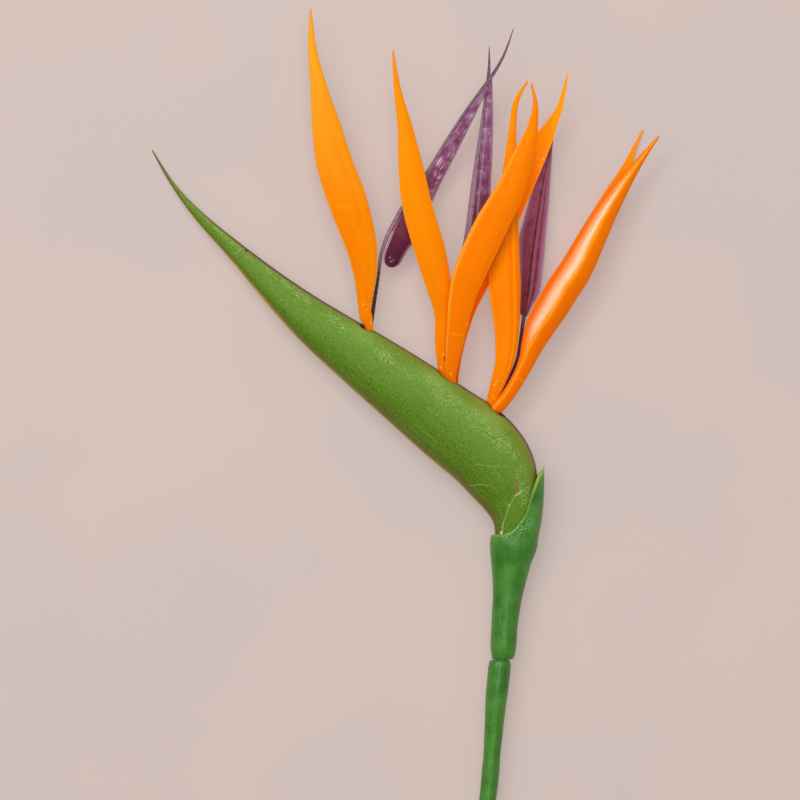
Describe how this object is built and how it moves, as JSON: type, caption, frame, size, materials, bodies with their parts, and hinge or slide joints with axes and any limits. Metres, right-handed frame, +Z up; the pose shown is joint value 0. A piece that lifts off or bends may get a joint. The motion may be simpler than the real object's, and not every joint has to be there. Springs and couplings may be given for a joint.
{
  "type": "bird of paradise flower",
  "caption": "Picked bird of paradise flower head lying on its side: beaked green spathe, orange sepals and purple arrow petals on a sheathed stalk.",
  "frame": {"origin": "middle of the bottom of the bounding box, on the surface that the flower lies on", "axes": "+Z up from the surface, +Y along the stalk from its cut end towards the petals' tips, +X across towards the back of the head, so that the beak points to -X"},
  "size_m": [0.1728, 0.3592, 0.0205],
  "materials": {
    "stalk_flesh": "satin",
    "ovary_flesh": "satin",
    "sheath_leaf": "gloss",
    "green_bract": "satin",
    "orange_sepal": "satin",
    "purple_petal": "satin"
  },
  "bodies": {
    "root": {"stem": "stalk_flesh", "lower_sheath": "sheath_leaf", "upper_sheath": "sheath_leaf", "spathe": "green_bract", "flower_base_1": "ovary_flesh", "flower_base_2": "ovary_flesh", "flower_base_3": "ovary_flesh", "sepal_a": "orange_sepal", "sepal_b": "orange_sepal", "sepal_c": "orange_sepal", "sepal_d": "orange_sepal", "sepal_e": "orange_sepal", "sepal_f": "orange_sepal", "sepal_g": "orange_sepal", "arrow_petals_1": "purple_petal", "arrow_petals_2": "purple_petal", "arrow_petals_3": "purple_petal"}
  },
  "joints": []
}
